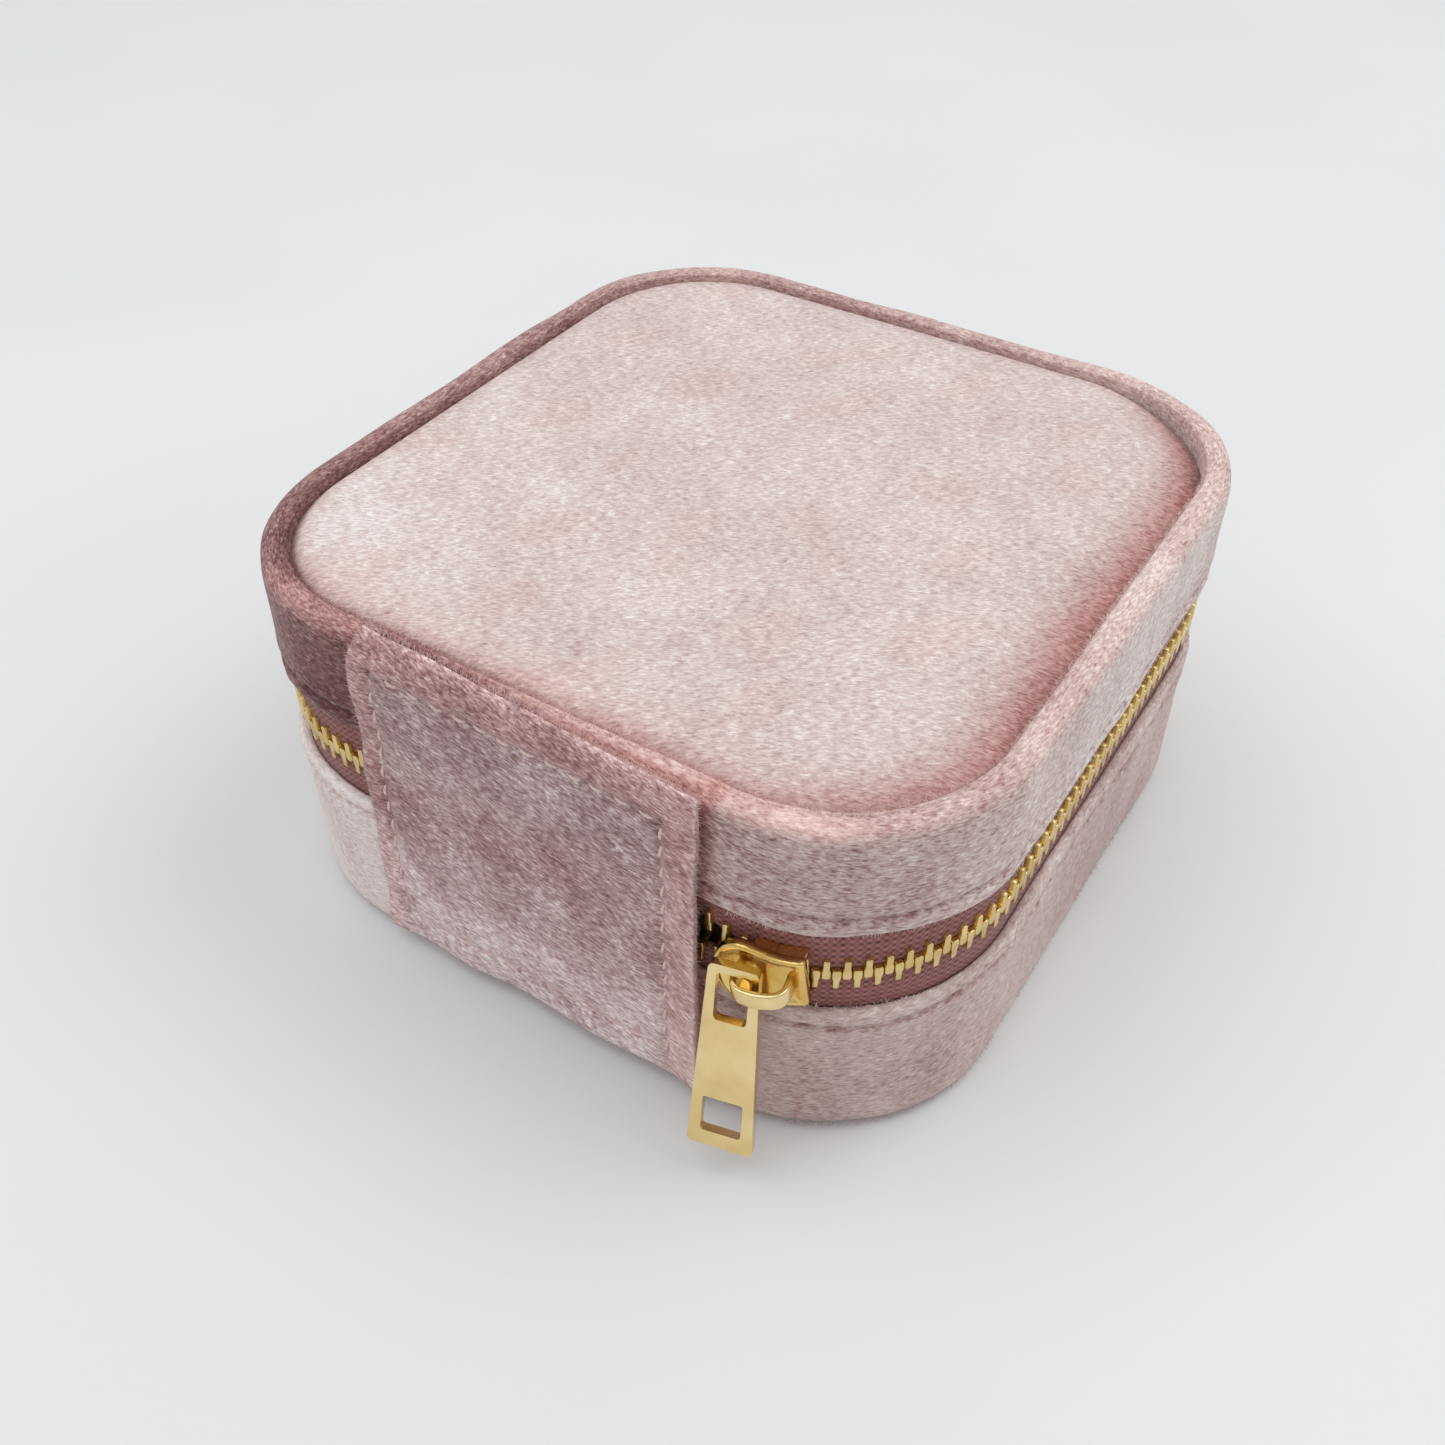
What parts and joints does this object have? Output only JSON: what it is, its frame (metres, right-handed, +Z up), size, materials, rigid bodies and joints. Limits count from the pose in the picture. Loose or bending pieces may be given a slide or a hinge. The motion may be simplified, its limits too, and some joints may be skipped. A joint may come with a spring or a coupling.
{
  "type": "zip-around jewellery case",
  "caption": "Square velvet case with rounded corners that opens like a clam with a metal zip, a cloth hinge patch and a hanging pull tab.",
  "frame": {"origin": "on the floor under the middle of the box's square outline", "axes": "+Z up, +Y towards the back wall with the hinge patch, the lid opens from the -Y side"},
  "size_m": [0.1004, 0.1102, 0.051],
  "materials": {
    "velvet": "crushed velvet pile, dusty pink",
    "patch_velvet": "crushed velvet pile, dusty pink to mauve",
    "lining": "short pile lining",
    "board": "pressed grey board",
    "foam": "soft foam sheet",
    "tape": "herringbone woven tape, mauve",
    "thread": "twisted thread",
    "brass": "bright stamped brass",
    "plated_metal": "gold plated, polished",
    "mirror_glass": "silvered glass"
  },
  "bodies": {
    "base": {"base_velvet_cover": "velvet", "base_bottom_velvet": "velvet", "base_bottom_board": "board", "base_wall_board": "board", "base_lining_wall": "lining", "base_floor_pad": "lining", "divider_long": "lining", "divider_rolls": "lining", "divider_trays": "lining", "ring_roll_1": "lining", "ring_roll_2": "lining", "ring_roll_3": "lining", "ring_roll_4": "lining", "ring_roll_5": "lining", "zip_tape_base": "tape", "zip_teeth_base": "brass", "zip_top_stop_base": "brass", "zip_bottom_stop": "brass", "base_hem_stitching": "thread", "hinge_patch": "patch_velvet", "patch_stitching_base": "thread", "hinge_lining": "lining"},
    "lid": {"lid_velvet_cover": "velvet", "lid_wall_board": "board", "lid_top_board": "board", "lid_top_foam": "foam", "lid_top_velvet": "velvet", "lid_lining_wall": "lining", "lid_lining_panel": "lining", "lid_mirror": "mirror_glass", "zip_tape_lid": "tape", "zip_teeth_lid": "brass", "zip_top_stop_lid": "brass", "lid_hem_stitching": "thread", "patch_stitching_lid": "thread"},
    "slider": {"slider_body": "plated_metal", "slider_bridge": "plated_metal"},
    "pull_tab": {"pull_tab": "plated_metal"}
  },
  "joints": [
    {"name": "lid_hinge", "type": "hinge", "parent": "base", "child": "lid", "pos_m": [0, 0.0512, 0.0294], "axis": [-1, 0, 0], "range_deg": [0, 105], "deforming": ["zip_tape_base", "zip_teeth_base", "zip_tape_lid", "zip_teeth_lid", "zip_top_stop_base", "zip_top_stop_lid", "zip_bottom_stop", "hinge_patch", "hinge_lining", "patch_stitching_base", "patch_stitching_lid"]},
    {"name": "slider_travel", "type": "hinge", "parent": "base", "child": "slider", "pos_m": [-0.026, 0.027, 0.0294], "axis": [0, 0, 1], "range_deg": [-2, 60]},
    {"name": "pull_tab_swing", "type": "hinge", "parent": "slider", "child": "pull_tab", "pos_m": [-0.02957, 0.05329, 0.028], "axis": [0.2295, -0.9558, -0.184], "range_deg": [-12, 60]}
  ]
}
